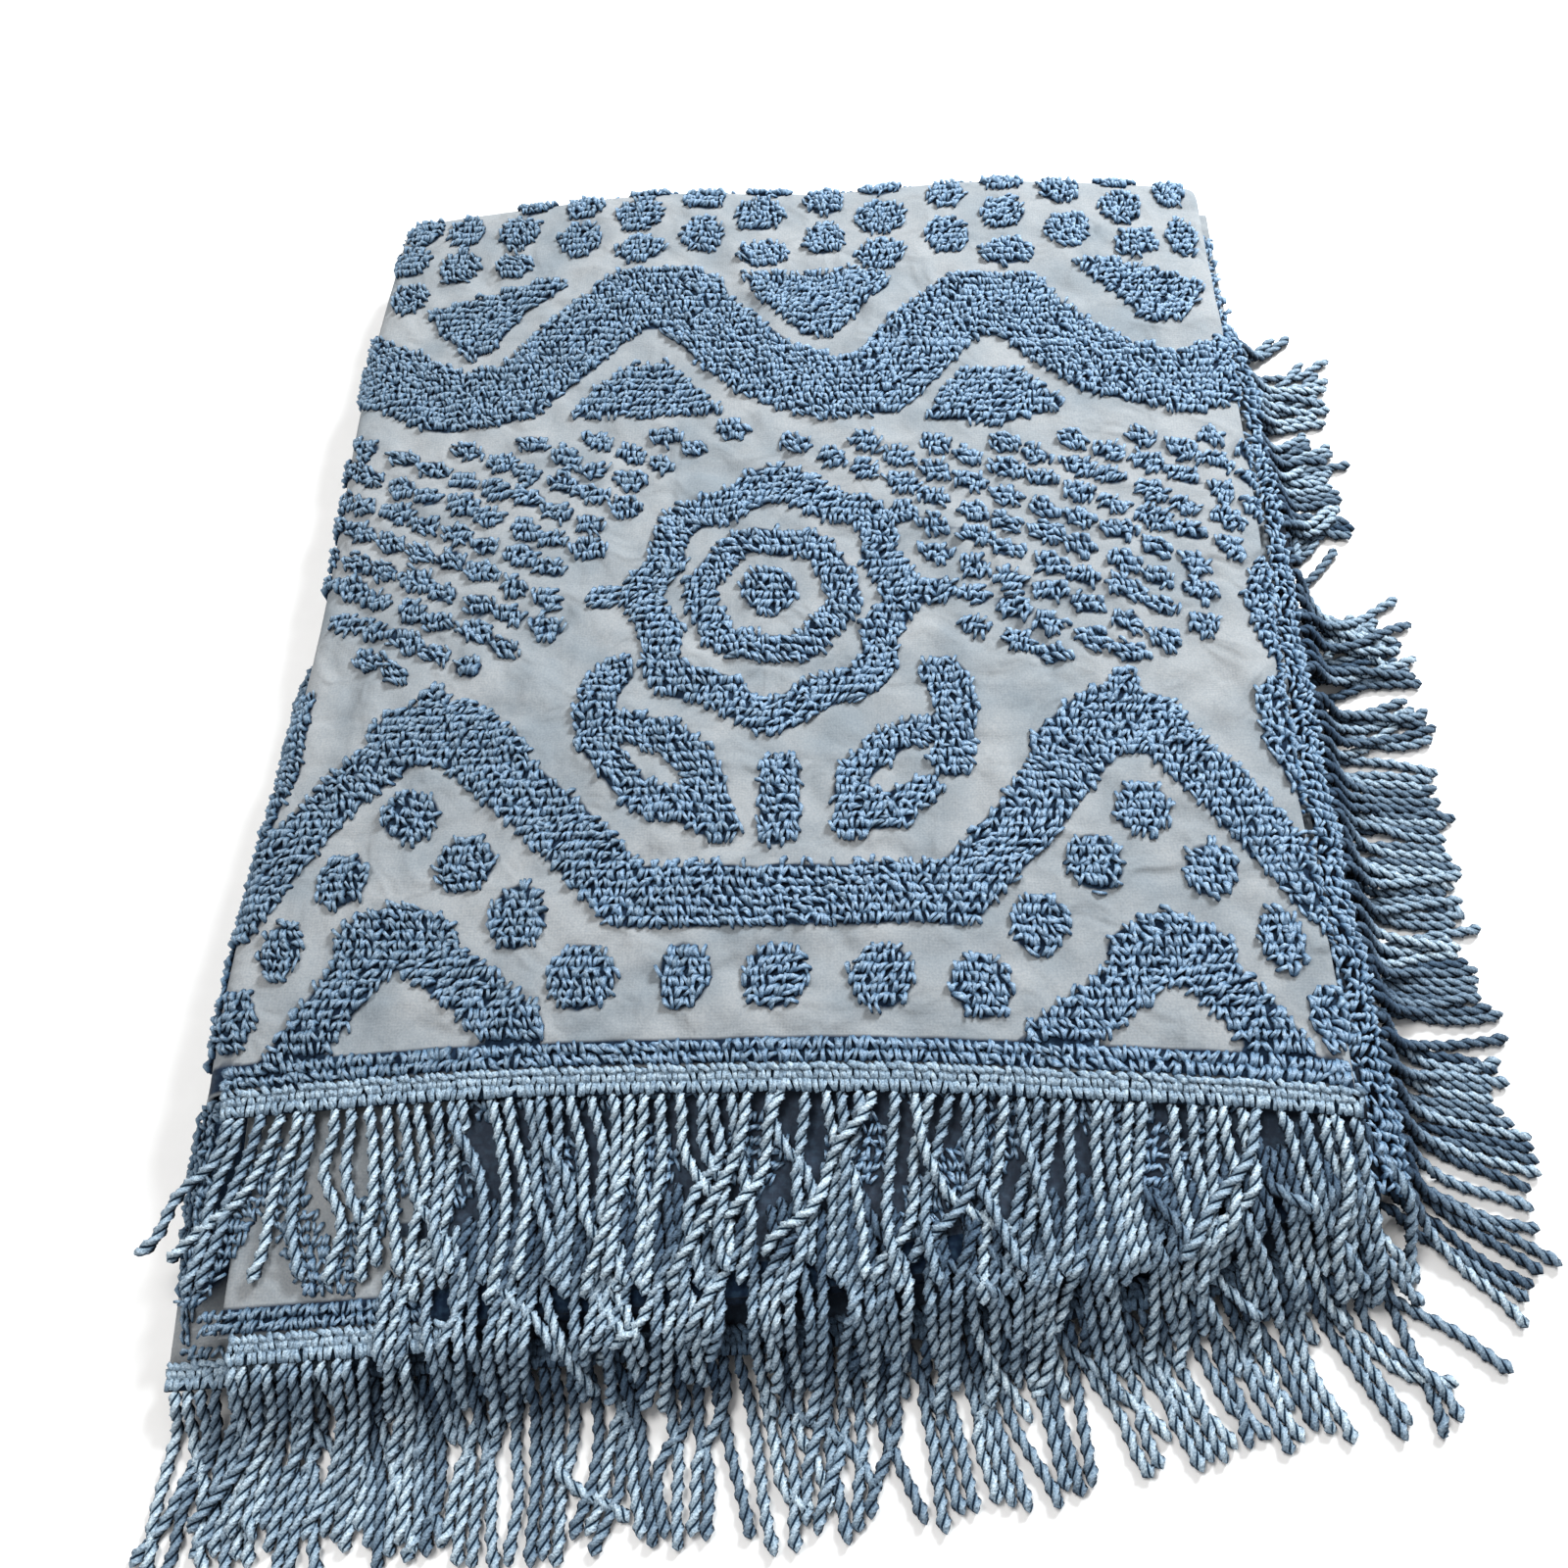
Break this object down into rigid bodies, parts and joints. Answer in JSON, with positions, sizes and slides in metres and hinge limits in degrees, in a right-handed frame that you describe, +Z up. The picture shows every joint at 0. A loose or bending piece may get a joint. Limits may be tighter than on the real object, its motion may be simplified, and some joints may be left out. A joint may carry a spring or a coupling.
{
  "type": "chenille bedspread",
  "caption": "Tufted cotton bedspread folded to a flat package, its near edge and right side with a twisted cord fringe.",
  "frame": {"origin": "middle of the folded package's box, on the surface that it lies on", "axes": "+Z up, +Y from the near hem with its three tiers of fringe to the rounded far fold, +X to the side with the fringe"},
  "size_m": [0.6608, 0.8724, 0.0628],
  "materials": {
    "tufted_cotton": "matt blue-grey cotton with short looped tufts",
    "cotton_cord": "matt blue twisted cotton cord"
  },
  "bodies": {
    "root": {"bedspread_cloth": "tufted_cotton", "foot_fringe_top": "cotton_cord", "foot_fringe_middle": "cotton_cord", "foot_fringe_low": "cotton_cord", "side_fringe_top": "cotton_cord", "side_fringe_low": "cotton_cord"}
  },
  "joints": []
}
